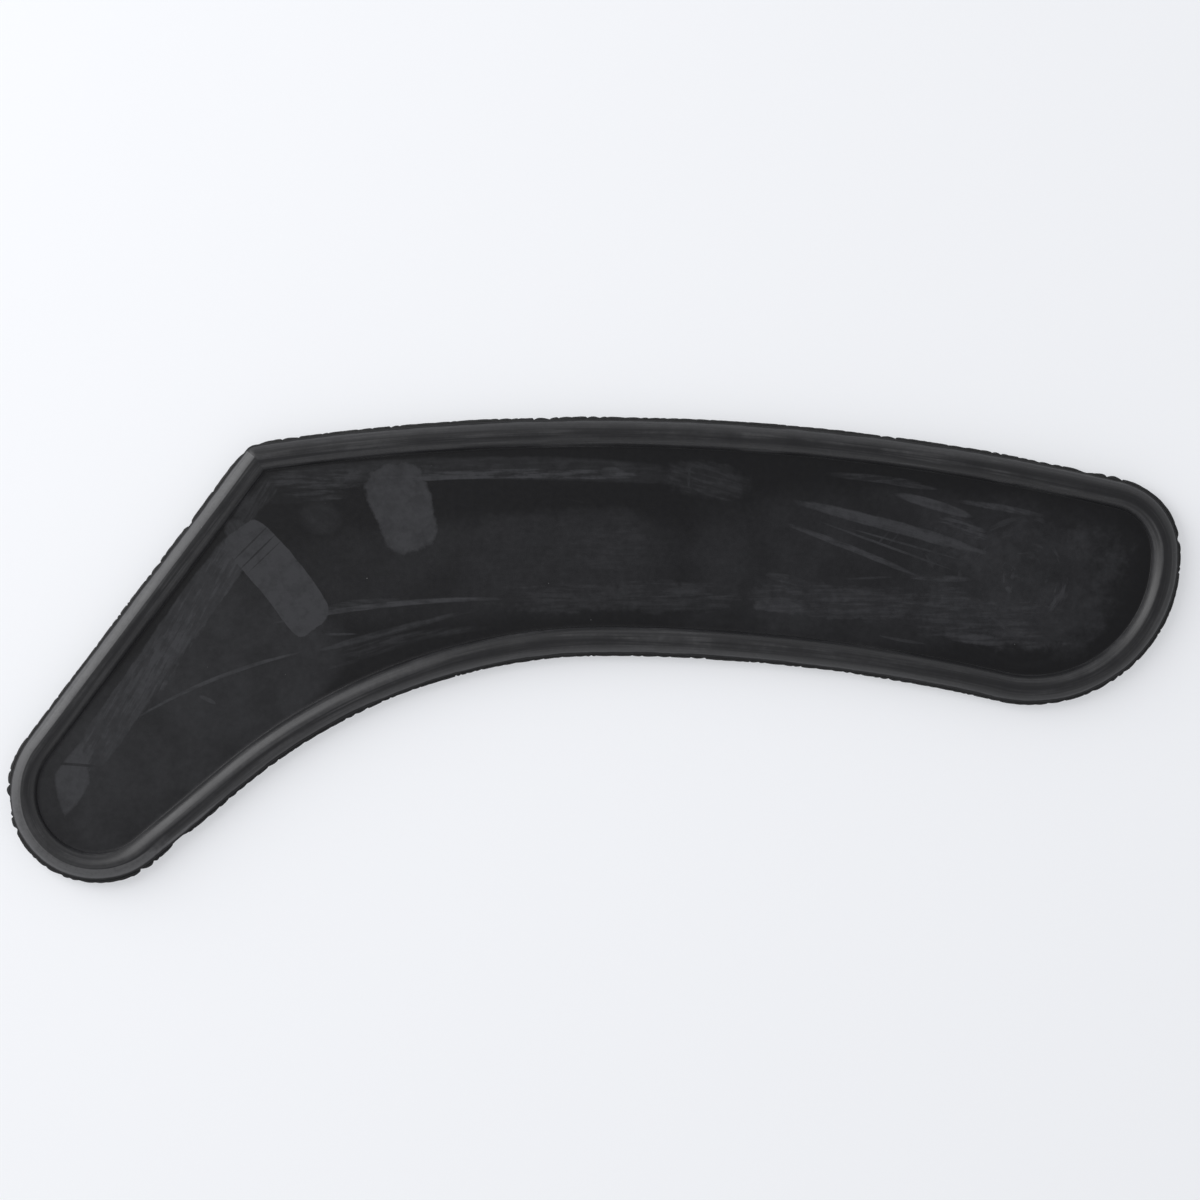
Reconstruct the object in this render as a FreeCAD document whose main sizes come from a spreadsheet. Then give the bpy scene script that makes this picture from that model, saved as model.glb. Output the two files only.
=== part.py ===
import FreeCAD, Part
import Sketcher

import math
import os

# Boomerang moulded in black rubber: a thin web panel inside a round rim bead, with the thin fin of
# flash that the mould squeezes out along the bead's widest line. It lies flat on the XY plane, long
# arm towards +X, elbow towards +Y. The origin is under the centre of its outline.
#
# The outline is a chain of tangent arcs and straight edges with one sharp corner, the elbow. Each
# piece uses this chain at its own inset from the bead's outer edge, so an arc keeps its centre and
# only its radius changes: a bulging arc gets smaller inwards, a hollow one gets larger.
#
#   elbow - back - nose - belly - sweep - crook - neck - tip - edge - elbow

DRIVING_SIZES = [
    # alias, millimetres (degrees for the angle), what it sets
    ("body_length", 289.0, "length over the rim bead, along X"),
    ("body_width", 114.0, "width over the rim bead, along Y"),
    ("edge_angle", 53.0, "slope of the short arm's straight outer edge, degrees from X"),
    ("tip_radius", 21.6, "round end of the short arm"),
    ("back_radius", 560.0, "long outer edge, from the elbow to the nose"),
    ("nose_radius", 18.0, "upper part of the long arm's round end"),
    ("belly_radius", 36.4, "lower part of the long arm's round end"),
    ("belly_height", 23.3, "centre of the belly arc above the X axis"),
    ("sweep_radius", 430.6, "hollow inner edge of the long arm"),
    ("crook_radius", 140.6, "hollow inner edge at the elbow"),
    ("crook_across", 3.0, "centre of the crook arc, along X"),
    ("crook_drop", 141.6, "centre of the crook arc below the X axis"),
    ("bead_width", 7.0, "diameter of the round rim bead"),
    ("bead_height", 6.9, "bead height between its two narrow flat lands"),
    ("web_thickness", 1.8, "flat panel inside the bead"),
    ("web_seat", 1.6, "how far the panel's edge runs into the bead"),
    ("flash_width", 0.6, "how far the flash stands out of the bead"),
    ("flash_thickness", 0.3, "thickness of the flash"),
    ("flash_root", 1.0, "how far the flash blank starts inside the bead before it is trimmed"),
    ("gap_length", 7.0, "length of the flash torn away at each bare place"),
]

# Bare places, where the flash has come away: each is a point of the rim, across and up.
BARE_PLACES = {
    "elbow_gap": (-85.8, 51.0),
    "tip_gap": (-144.0, -39.5),
    "neck_gap": (-102.0, -47.6),
}

LEFT, RIGHT = 1, -1
ORIGIN = (-1, 1)
START, END, CENTRE = 1, 2, 3


def make_sheet(doc):
    sheet = doc.addObject("Spreadsheet::Sheet", "Sizes")
    for row, (alias, value, meaning) in enumerate(DRIVING_SIZES, start=1):
        sheet.set(f"A{row}", alias)
        sheet.set(f"B{row}", str(value))
        sheet.set(f"C{row}", meaning)
        sheet.setAlias(f"B{row}", alias)
    doc.recompute()
    return sheet


def circles_meet(centre_a, radius_a, centre_b, radius_b, side):
    """The point where two circles cross, on the chosen side of the line from a to b."""
    line = centre_b - centre_a
    along = (radius_a**2 - radius_b**2 + line.Length**2) / (2 * line.Length)
    across = math.sqrt(radius_a**2 - along**2)
    ahead = FreeCAD.Vector(line).normalize()
    return centre_a + ahead * along + FreeCAD.Vector(-ahead.y, ahead.x, 0) * (side * across)


def towards(start, end):
    return (end - start).normalize()


def outline_chain(s, inset):
    """Centres and joints of the outline at an inset from the bead's outer edge."""
    tip = FreeCAD.Vector(s.tip_radius - s.body_length / 2, s.tip_radius - s.body_width / 2, 0)
    back = FreeCAD.Vector(0, s.body_width / 2 - s.back_radius, 0)
    belly = FreeCAD.Vector(s.body_length / 2 - s.belly_radius, s.belly_height, 0)
    crook = FreeCAD.Vector(s.crook_across, -s.crook_drop, 0)
    nose = circles_meet(belly, s.belly_radius - s.nose_radius,
                        back, s.back_radius - s.nose_radius, LEFT)
    sweep = circles_meet(crook, s.sweep_radius - s.crook_radius,
                         belly, s.sweep_radius + s.belly_radius, RIGHT)

    tip_r, back_r = s.tip_radius - inset, s.back_radius - inset
    nose_r, belly_r = s.nose_radius - inset, s.belly_radius - inset
    crook_r = s.crook_radius + inset

    slope = math.radians(s.edge_angle)
    up_edge = FreeCAD.Vector(math.cos(slope), math.sin(slope), 0)
    edge_foot = tip + FreeCAD.Vector(-up_edge.y, up_edge.x, 0) * tip_r
    from_back = edge_foot - back
    half = from_back.dot(up_edge)
    elbow = edge_foot + up_edge * (math.sqrt(half**2 - from_back.Length**2 + back_r**2) - half)

    tip_to_crook = crook - tip
    turn = math.acos((s.tip_radius + s.crook_radius) / tip_to_crook.Length)
    bearing = math.atan2(tip_to_crook.y, tip_to_crook.x) - turn
    out_of_neck = FreeCAD.Vector(math.cos(bearing), math.sin(bearing), 0)
    return {
        "centres": {"tip": tip, "back": back, "nose": nose, "belly": belly, "sweep": sweep, "crook": crook},
        "radii": {"tip": tip_r, "back": back_r, "nose": nose_r, "belly": belly_r,
                  "sweep": s.sweep_radius + inset, "crook": crook_r},
        "crest": back + FreeCAD.Vector(0, back_r, 0),
        "elbow": elbow,
        "edge_foot": edge_foot,
        "neck_start": tip + out_of_neck * tip_r,
        "neck_end": crook - out_of_neck * crook_r,
        "crook_end": crook + towards(sweep, crook) * crook_r,
        "sweep_end": belly + towards(belly, sweep) * belly_r,
        "belly_end": belly + towards(belly, nose) * belly_r,
        "nose_end": nose + towards(back, nose) * nose_r,
    }


def arc_between(centre, start, end):
    """The arc that runs counter-clockwise from start to end."""
    radius = (start - centre).Length
    from_angle = math.atan2(start.y - centre.y, start.x - centre.x)
    to_angle = math.atan2(end.y - centre.y, end.x - centre.x)
    if to_angle <= from_angle:
        to_angle += 2 * math.pi
    circle = Part.Circle(centre, FreeCAD.Vector(0, 0, 1), radius)
    return Part.ArcOfCircle(circle, from_angle, to_angle)


def bind(sketch, name, expression, kind, *arguments):
    """Adds a dimension to the sketch and ties it to the sheet."""
    index = sketch.addConstraint(Sketcher.Constraint(kind, *arguments))
    sketch.renameConstraint(index, name)
    sketch.setExpression(f"Constraints.{name}", expression)


def origin_plane(body, role):
    return next(f for f in body.Origin.OriginFeatures if f.Role == role)


def outline_sketch(body, name, s, inset, inset_expression, height_expression):
    """The closed outline at an inset, on a plane parallel to XY. It starts and ends at the crest."""
    sketch = body.newObject("Sketcher::SketchObject", name)
    sketch.AttachmentSupport = [(origin_plane(body, "XY_Plane"), "")]
    sketch.MapMode = "FlatFace"
    sketch.setExpression("AttachmentOffset.Base.z", height_expression)

    chain = outline_chain(s, inset)
    centres = chain["centres"]
    back_left = sketch.addGeometry(arc_between(centres["back"], chain["crest"], chain["elbow"]))
    edge = sketch.addGeometry(Part.LineSegment(chain["edge_foot"], chain["elbow"]))
    tip = sketch.addGeometry(arc_between(centres["tip"], chain["edge_foot"], chain["neck_start"]))
    neck = sketch.addGeometry(Part.LineSegment(chain["neck_start"], chain["neck_end"]))
    crook = sketch.addGeometry(arc_between(centres["crook"], chain["crook_end"], chain["neck_end"]))
    sweep = sketch.addGeometry(arc_between(centres["sweep"], chain["sweep_end"], chain["crook_end"]))
    belly = sketch.addGeometry(arc_between(centres["belly"], chain["sweep_end"], chain["belly_end"]))
    nose = sketch.addGeometry(arc_between(centres["nose"], chain["belly_end"], chain["nose_end"]))
    back_right = sketch.addGeometry(arc_between(centres["back"], chain["nose_end"], chain["crest"]))

    joints = [
        ("Coincident", back_left, END, edge, END),
        ("Tangent", edge, START, tip, START),
        ("Tangent", tip, END, neck, START),
        ("Tangent", neck, END, crook, END),
        ("Tangent", crook, START, sweep, END),
        ("Tangent", sweep, START, belly, START),
        ("Tangent", belly, END, nose, START),
        ("Tangent", nose, END, back_right, START),
        ("Coincident", back_right, END, back_left, START),
        ("Coincident", back_right, CENTRE, back_left, CENTRE),
        ("PointOnObject", back_left, START, -2),
        ("PointOnObject", back_left, CENTRE, -2),
    ]
    for joint in joints:
        sketch.addConstraint(Sketcher.Constraint(*joint))

    radii = chain["radii"]
    for label, geometry, sign in (("tip", tip, "-"), ("back", back_left, "-"), ("nose", nose, "-"),
                                  ("belly", belly, "-"), ("sweep", sweep, "+"), ("crook", crook, "+")):
        expression = f"Sizes.{label}_radius {sign} ({inset_expression})"
        bind(sketch, f"{label}_radius", expression, "Radius", geometry, radii[label])
    bind(sketch, "edge_angle", "Sizes.edge_angle * 1 deg", "Angle", edge, math.radians(s.edge_angle))

    places = [
        ("tip_across", "Sizes.body_length / 2 - Sizes.tip_radius", "DistanceX", (tip, CENTRE), ORIGIN),
        ("tip_drop", "Sizes.body_width / 2 - Sizes.tip_radius", "DistanceY", (tip, CENTRE), ORIGIN),
        ("back_drop", "Sizes.back_radius - Sizes.body_width / 2", "DistanceY", (back_left, CENTRE), ORIGIN),
        ("belly_across", "Sizes.body_length / 2 - Sizes.belly_radius", "DistanceX", ORIGIN, (belly, CENTRE)),
        ("belly_height", "Sizes.belly_height", "DistanceY", ORIGIN, (belly, CENTRE)),
        ("crook_across", "Sizes.crook_across", "DistanceX", ORIGIN, (crook, CENTRE)),
        ("crook_drop", "Sizes.crook_drop", "DistanceY", (crook, CENTRE), ORIGIN),
    ]
    values = {
        "tip_across": -centres["tip"].x,
        "tip_drop": -centres["tip"].y,
        "back_drop": -centres["back"].y,
        "belly_across": centres["belly"].x,
        "belly_height": centres["belly"].y,
        "crook_across": centres["crook"].x,
        "crook_drop": -centres["crook"].y,
    }
    for label, expression, kind, first, second in places:
        bind(sketch, label, expression, kind, *first, *second, values[label])
    return sketch


def bead_section_sketch(body, s):
    """A circle cut off flat at top and bottom, centred on the crest of the bead's path."""
    sketch = body.newObject("Sketcher::SketchObject", "bead_section")
    sketch.AttachmentSupport = [(origin_plane(body, "YZ_Plane"), "")]
    sketch.MapMode = "FlatFace"

    radius, rise = s.bead_width / 2, s.bead_height / 2
    centre = FreeCAD.Vector(s.body_width / 2 - radius, rise, 0)
    land = math.sqrt(radius**2 - rise**2)
    top_out, top_in = (centre + FreeCAD.Vector(side * land, rise, 0) for side in (1, -1))
    low_out, low_in = (centre + FreeCAD.Vector(side * land, -rise, 0) for side in (1, -1))
    outer = sketch.addGeometry(arc_between(centre, low_out, top_out))
    top = sketch.addGeometry(Part.LineSegment(top_out, top_in))
    inner = sketch.addGeometry(arc_between(centre, top_in, low_in))
    bottom = sketch.addGeometry(Part.LineSegment(low_in, low_out))
    for joint in (
        ("Coincident", outer, END, top, START),
        ("Coincident", top, END, inner, START),
        ("Coincident", inner, END, bottom, START),
        ("Coincident", bottom, END, outer, START),
        ("Coincident", outer, CENTRE, inner, CENTRE),
        ("Equal", outer, inner),
        ("Horizontal", top),
        ("Horizontal", bottom),
    ):
        sketch.addConstraint(Sketcher.Constraint(*joint))
    bind(sketch, "bead_radius", "Sizes.bead_width / 2", "Radius", outer, radius)
    bind(sketch, "section_across", "Sizes.body_width / 2 - Sizes.bead_width / 2",
         "DistanceX", *ORIGIN, outer, CENTRE, centre.x)
    bind(sketch, "section_rise", "Sizes.bead_height / 2", "DistanceY", *ORIGIN, outer, CENTRE, centre.y)
    bind(sketch, "section_top", "Sizes.bead_height", "DistanceY", bottom, START, top, END, s.bead_height)
    bind(sketch, "section_foot", "Sizes.bead_height / 2",
         "DistanceY", bottom, START, outer, CENTRE, rise)
    return sketch


def pad_both_ways(body, name, sketch, thickness_expression):
    """Pads a sketch half its thickness up and half down."""
    pad = body.newObject("PartDesign::Pad", name)
    pad.Profile = sketch
    pad.Midplane = True
    pad.setExpression("Length", thickness_expression)
    sketch.Visibility = False
    return pad


def make_rim_bead(doc, s):
    """The round bead, swept along its centre line, with the groove that holds the web's edge."""
    body = doc.addObject("PartDesign::Body", "rim_bead")
    path = outline_sketch(body, "bead_path", s, s.bead_width / 2, "Sizes.bead_width / 2",
                          "Sizes.bead_height / 2")
    section = bead_section_sketch(body, s)
    doc.recompute()
    sweep = body.newObject("PartDesign::AdditivePipe", "bead_sweep")
    sweep.Profile = section
    sweep.Spine = (path, [])
    sweep.Transition = "Round corner"
    doc.recompute()

    web_inset = s.bead_width - s.web_seat
    groove_sketch = outline_sketch(body, "groove_outline", s, web_inset,
                                   "Sizes.bead_width - Sizes.web_seat", "Sizes.bead_height / 2")
    groove = body.newObject("PartDesign::Pocket", "web_groove")
    groove.Profile = groove_sketch
    groove.Midplane = True
    groove.setExpression("Length", "Sizes.web_thickness")
    doc.recompute()
    return body


def make_web_panel(doc, s):
    """The flat panel, whose edge fills the groove in the bead."""
    body = doc.addObject("PartDesign::Body", "web_panel")
    outline = outline_sketch(body, "web_outline", s, s.bead_width - s.web_seat,
                             "Sizes.bead_width - Sizes.web_seat", "Sizes.bead_height / 2")
    pad_both_ways(body, "web_pad", outline, "Sizes.web_thickness")
    doc.recompute()
    return body


def make_parting_flash(doc, s, rim_bead):
    """The thin fin along the bead's widest line, trimmed to the bead and bare in a few places."""
    blank = doc.addObject("PartDesign::Body", "flash_blank")
    outline = outline_sketch(blank, "flash_outline", s, -s.flash_width, "-Sizes.flash_width",
                             "Sizes.bead_height / 2")
    pad_both_ways(blank, "flash_pad", outline, "Sizes.flash_thickness")
    doc.recompute()
    window = outline_sketch(blank, "flash_window", s, s.flash_root, "Sizes.flash_root",
                            "Sizes.bead_height / 2")
    opening = blank.newObject("PartDesign::Pocket", "flash_opening")
    opening.Profile = window
    opening.Midplane = True
    opening.setExpression("Length", "Sizes.flash_thickness * 2")
    doc.recompute()

    fin = doc.addObject("Part::Cut", "flash_fin")
    fin.Base = blank
    fin.Tool = rim_bead

    gaps = []
    for name, (across, up) in BARE_PLACES.items():
        gap = doc.addObject("Part::Box", name)
        for side in ("Length", "Width", "Height"):
            gap.setExpression(side, "Sizes.gap_length")
        gap.setExpression("Placement.Base.x", f"{across} - Sizes.gap_length / 2")
        gap.setExpression("Placement.Base.y", f"{up} - Sizes.gap_length / 2")
        gaps.append(gap)
    torn = doc.addObject("Part::MultiFuse", "torn_places")
    torn.Shapes = gaps
    flash = doc.addObject("Part::Cut", "parting_flash")
    flash.Base = fin
    flash.Tool = torn
    doc.recompute()
    return flash


def check_document(doc):
    for item in doc.Objects:
        if "Invalid" in item.State or "Error" in item.State:
            raise RuntimeError(f"{item.Name} failed: {item.State}")


def export(pieces):
    os.makedirs("parts", exist_ok=True)
    for piece in pieces:
        shape = piece.Shape
        if shape.isNull() or not shape.isValid() or not shape.Solids:
            raise RuntimeError(f"{piece.Label} has no valid solid")
        shape.exportStep(f"parts/{piece.Label}.step")
        box = shape.BoundBox
        print(f"{piece.Label}: {len(shape.Solids)} solid(s), {shape.Volume / 1000:.2f} cm3, "
              f"x {box.XMin:.2f} to {box.XMax:.2f}, y {box.YMin:.2f} to {box.YMax:.2f}, "
              f"z {box.ZMin:.2f} to {box.ZMax:.2f}")


def main():
    doc = FreeCAD.newDocument("boomerang")
    sizes = make_sheet(doc)
    rim_bead = make_rim_bead(doc, sizes)
    web_panel = make_web_panel(doc, sizes)
    parting_flash = make_parting_flash(doc, sizes, rim_bead)
    doc.recompute()
    check_document(doc)
    export([rim_bead, web_panel, parting_flash])


main()
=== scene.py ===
import bisect
import math
import random

import bmesh
import bpy
from bpy.props import FloatProperty, FloatVectorProperty, IntProperty, PointerProperty
from mathutils import Matrix, Vector, noise


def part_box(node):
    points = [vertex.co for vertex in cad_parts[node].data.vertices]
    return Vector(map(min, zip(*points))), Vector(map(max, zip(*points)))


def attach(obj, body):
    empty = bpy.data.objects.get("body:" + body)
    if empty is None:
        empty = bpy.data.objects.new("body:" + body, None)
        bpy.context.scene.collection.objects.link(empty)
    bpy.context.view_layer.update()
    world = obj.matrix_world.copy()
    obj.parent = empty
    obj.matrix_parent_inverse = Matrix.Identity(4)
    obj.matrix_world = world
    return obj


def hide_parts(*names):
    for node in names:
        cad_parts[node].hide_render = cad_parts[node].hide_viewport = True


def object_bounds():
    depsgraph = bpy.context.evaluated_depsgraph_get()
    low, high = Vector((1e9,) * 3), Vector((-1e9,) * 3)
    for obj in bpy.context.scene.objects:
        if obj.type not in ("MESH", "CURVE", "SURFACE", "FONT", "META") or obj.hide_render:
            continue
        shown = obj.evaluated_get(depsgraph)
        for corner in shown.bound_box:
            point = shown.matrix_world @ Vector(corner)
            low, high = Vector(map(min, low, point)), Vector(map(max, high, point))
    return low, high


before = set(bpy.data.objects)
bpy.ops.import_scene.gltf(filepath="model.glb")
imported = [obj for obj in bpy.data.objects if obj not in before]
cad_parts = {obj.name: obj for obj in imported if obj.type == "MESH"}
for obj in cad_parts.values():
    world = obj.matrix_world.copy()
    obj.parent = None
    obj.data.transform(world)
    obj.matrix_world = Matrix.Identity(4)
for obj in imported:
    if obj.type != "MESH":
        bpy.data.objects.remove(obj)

bl_info = {
    "name": "Rubber Boomerang",
    "version": (1, 0, 0),
    "blender": (4, 5, 0),
    "location": "View3D > Sidebar > Boomerang",
    "description": "Moulds a black rubber boomerang: round rim bead, dusty web panel and torn parting flash",
    "category": "Add Mesh",
}

MM = 0.001
UP = Vector((0, 0, 1))
ROOT_BODY = "root"
CAD_LOW, CAD_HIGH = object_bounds()
BEAD_LOW, BEAD_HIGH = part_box("rim_bead")
WEB_LOW, WEB_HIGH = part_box("web_panel")
FLASH_LOW, FLASH_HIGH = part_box("parting_flash")
MID_HEIGHT = (BEAD_LOW.z + BEAD_HIGH.z) / 2


# ---------------------------------------------------------------- sizes and colours

def length(name, default, description):
    return FloatProperty(name=name, description=description, default=default, min=0, unit="LENGTH",
                         subtype="DISTANCE", precision=5)


def place(name, default, description):
    return FloatProperty(name=name, description=description, default=default, unit="LENGTH",
                         subtype="DISTANCE", precision=5)


def fraction(name, default, description):
    return FloatProperty(name=name, description=description, default=default, min=0, max=1,
                         subtype="FACTOR")


def colour(name, default, description):
    return FloatVectorProperty(name=name, description=description, default=default, size=3, min=0,
                               max=1, subtype="COLOR")


class OutlineSizes(bpy.types.PropertyGroup):
    """The outline of the bead's outer edge: tangent arcs and straight edges with one sharp elbow."""
    half_length: length("Half length", BEAD_HIGH.x, "Half the length over the bead")
    half_width: length("Half width", BEAD_HIGH.y, "Half the width over the bead")
    edge_angle: FloatProperty(name="Edge angle", description="Slope of the short arm's outer edge",
                              default=math.radians(53), subtype="ANGLE", unit="ROTATION")
    tip_radius: length("Tip radius", 21.6 * MM, "Round end of the short arm")
    back_radius: length("Back radius", 560 * MM, "Long outer edge, from the elbow to the nose")
    nose_radius: length("Nose radius", 18 * MM, "Upper part of the long arm's round end")
    belly_radius: length("Belly radius", 36.4 * MM, "Lower part of the long arm's round end")
    belly_height: length("Belly height", 23.3 * MM, "Centre of the belly arc above the middle")
    sweep_radius: length("Sweep radius", 430.6 * MM, "Hollow inner edge of the long arm")
    crook_radius: length("Crook radius", 140.6 * MM, "Hollow inner edge at the elbow")
    crook_across: place("Crook across", 3 * MM, "Centre of the crook arc, along the length")
    crook_drop: length("Crook drop", 141.6 * MM, "Centre of the crook arc below the middle")


class BeadSizes(bpy.types.PropertyGroup):
    """The round bead, and how uneven the moulding left it."""
    radius: length("Radius", 3.5 * MM, "Radius of the bead's round section")
    pitch: length("Pitch", 1.9 * MM, "Spacing of the rings along the bead")
    segments: IntProperty(name="Segments", description="Edges round the section", default=56, min=16)
    swell: length("Swell", 0.035 * MM, "How far the surface rises and falls")
    swell_length: length("Swell length", 9 * MM, "Length of the rises and falls")


class WebSizes(bpy.types.PropertyGroup):
    """The thin panel inside the bead."""
    fillet: length("Fillet", 0.12 * MM, "Radius of the hollow blend from the panel up to the bead")
    seat: length("Seat", 0.5 * MM, "How far the blend runs on into the bead")
    lip: length("Lip", 0.6 * MM, "Flat strip between the blend and the panel's own mesh lines")
    grid: length("Grid", 5 * MM, "Spacing of the panel's own mesh lines")
    dip: length("Dip", 0.07 * MM, "How far the panel rises and falls")
    dip_length: length("Dip length", 34 * MM, "Length of the panel's rises and falls")


class FlashSizes(bpy.types.PropertyGroup):
    """The thin fin squeezed out at the parting line, torn along its outer edge."""
    width: length("Width", FLASH_HIGH.x - BEAD_HIGH.x, "How far the flash stands out of the bead")
    thickness: length("Thickness", FLASH_HIGH.z - FLASH_LOW.z, "Thickness where it leaves the bead")
    edge_thickness: length("Edge thickness", 0.12 * MM, "Thickness at the torn edge")
    pitch: length("Pitch", 0.32 * MM, "Spacing of the points along the torn edge")
    tooth: length("Tooth", 2.7 * MM, "Mean length of one torn tooth")
    depth: length("Depth", 0.30 * MM, "Mean depth of the nicks between teeth")
    curl: length("Curl", 0.16 * MM, "How far the fin bends up or down")
    seed: IntProperty(name="Seed", description="Seed of the torn edge", default=11)


class RubberColours(bpy.types.PropertyGroup):
    """The black rubber and what lies on it."""
    web: colour("Web rubber", (0.0024, 0.0024, 0.0034), "Clean rubber of the panel")
    bead: colour("Bead rubber", (0.0098, 0.0098, 0.0112), "Clean rubber of the bead")
    # Painted shade: a darker colour for the strip beside the flash, where the bead's steep flank lies in
    # shade.
    matt_shade: colour("Matt rubber", (0.006, 0.006, 0.0066), "Strip of the bead beside the flash")
    flash: colour("Torn rubber", (0.0075, 0.0075, 0.0080), "Raw rubber of the flash")
    bloom: colour("Bloom", (0.0295, 0.0300, 0.0338), "Grey bloom rubbed over the rubber")
    # Partly real scuffs and partly painted highlights: pale marks on the bead's flanks where the light
    # catches them.
    scuff_and_highlight: colour("Scuff", (0.074, 0.074, 0.077), "Paler skin where the bead is rubbed")
    dust: colour("Dust", (0.30, 0.30, 0.30), "Loose specks of dust")


class StageSizes(bpy.types.PropertyGroup):
    """The floor, the lights and the camera."""
    floor: colour("Floor", (0.535, 0.543, 0.560), "Pale board under the part")
    floor_glow: fraction("Floor glow", 0.41, "Light that comes through the board from below")
    view_width: length("View width", 296.6 * MM, "Width that the camera takes in")
    view_across: place("View across", 1.4 * MM, "Middle of the view, along the length")
    view_up: place("View up", 12.3 * MM, "Middle of the view, across the width")
    lens: FloatProperty(name="Lens", description="Focal length in millimetres", default=150)
    key_power: FloatProperty(name="Key power", description="Power of the low light on the left",
                             default=6.7, unit="POWER")
    sky_low: fraction("Sky low", 1.0, "Brightness of the surroundings near the horizon")
    sky_high: fraction("Sky high", 0.30, "Brightness of the surroundings overhead")


class BoomerangSettings(bpy.types.PropertyGroup):
    """All the sizes and colours, in one group for each thing that they belong to."""
    outline: PointerProperty(type=OutlineSizes)
    bead: PointerProperty(type=BeadSizes)
    web: PointerProperty(type=WebSizes)
    flash: PointerProperty(type=FlashSizes)
    colours: PointerProperty(type=RubberColours)
    stage: PointerProperty(type=StageSizes)


# ---------------------------------------------------------------- the outline

LARGEST_TURN = math.radians(4)  # the most that an arc turns in one step
ELBOW_STEPS = 10                # steps round the ball outside the elbow
MERGE = 0.02 * MM               # vertices nearer to each other than this become one
RIM_LAYERS = ("along", "outward", "heading")


class Leg:
    """One arc or straight edge of the outline, walked in even steps."""

    def __init__(self, start, end, centre=None, turn=0.0):
        self.centre = centre or start
        self.turn = turn
        self.shift = Vector() if centre else end - start
        self.length = abs(turn) * (start - centre).length if centre else self.shift.length

    def steps(self, pitch):
        return max(1, math.ceil(self.length / pitch), math.ceil(abs(self.turn) / LARGEST_TURN))


def circles_meet(centre_a, radius_a, centre_b, radius_b, side):
    """The point where two circles cross, on the chosen side of the line from a to b."""
    line = centre_b - centre_a
    along = (radius_a**2 - radius_b**2 + line.length_squared) / (2 * line.length)
    across = math.sqrt(radius_a**2 - along**2)
    ahead = line.normalized()
    return centre_a + ahead * along + UP.cross(ahead) * (side * across)


def arc(start, end, centre, way):
    """The leg round a centre from start to end, counter-clockwise for way 1 and clockwise for -1."""
    before, after = start - centre, end - centre
    turn = (math.atan2(after.y, after.x) - math.atan2(before.y, before.x)) * way % (2 * math.pi)
    return Leg(start, end, centre, turn * way)


class Rim:
    """The line that the bead's centre follows, from the elbow round the short arm and back.

    It runs the inset inside the outline that the sizes give.
    """

    def __init__(self, sizes, inset):
        s = sizes
        tip = Vector((s.tip_radius - s.half_length, s.tip_radius - s.half_width, 0))
        back = Vector((0, s.half_width - s.back_radius, 0))
        belly = Vector((s.half_length - s.belly_radius, s.belly_height, 0))
        crook = Vector((s.crook_across, -s.crook_drop, 0))
        nose = circles_meet(belly, s.belly_radius - s.nose_radius, back, s.back_radius - s.nose_radius, 1)
        sweep = circles_meet(crook, s.sweep_radius - s.crook_radius,
                             belly, s.sweep_radius + s.belly_radius, -1)
        edge_way = Vector((-math.cos(s.edge_angle), -math.sin(s.edge_angle), 0))
        edge_foot = tip - UP.cross(edge_way) * (s.tip_radius - inset)
        # The elbow is where the short arm's edge, carried on, meets the back's circle.
        from_back = edge_foot - back
        to_nearest = from_back.dot(edge_way)
        half_chord = math.sqrt(to_nearest**2 - from_back.length_squared + (s.back_radius - inset) ** 2)
        self.elbow = edge_foot - edge_way * (half_chord + to_nearest)

        # The neck is the straight edge that touches both the tip's circle and the crook's.
        to_crook = crook - tip
        bearing = math.atan2(to_crook.y, to_crook.x)
        bearing -= math.acos((s.tip_radius + s.crook_radius) / to_crook.length)
        out_of_neck = Vector((math.cos(bearing), math.sin(bearing), 0))
        neck_start = tip + out_of_neck * (s.tip_radius - inset)
        neck_end = crook - out_of_neck * (s.crook_radius + inset)
        crook_end = crook + (crook - sweep).normalized() * (s.crook_radius + inset)
        sweep_end = belly + (sweep - belly).normalized() * (s.belly_radius - inset)
        belly_end = belly + (nose - belly).normalized() * (s.belly_radius - inset)
        nose_end = nose + (nose - back).normalized() * (s.nose_radius - inset)
        self.legs = [
            Leg(self.elbow, edge_foot),
            arc(edge_foot, neck_start, tip, 1),
            Leg(neck_start, neck_end),
            arc(neck_end, crook_end, crook, -1),
            arc(crook_end, sweep_end, sweep, -1),
            arc(sweep_end, belly_end, belly, 1),
            arc(belly_end, nose_end, nose, 1),
            arc(nose_end, self.elbow, back, 1),
        ]
        back_way = UP.cross(self.elbow - back).normalized()
        self.elbow_turn = back_way.angle(edge_way)
        self.start_way = edge_way
        self.inward = (UP.cross(edge_way) + UP.cross(back_way)).normalized()


def verts_of(items):
    return [item for item in items if isinstance(item, bmesh.types.BMVert)]


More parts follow.
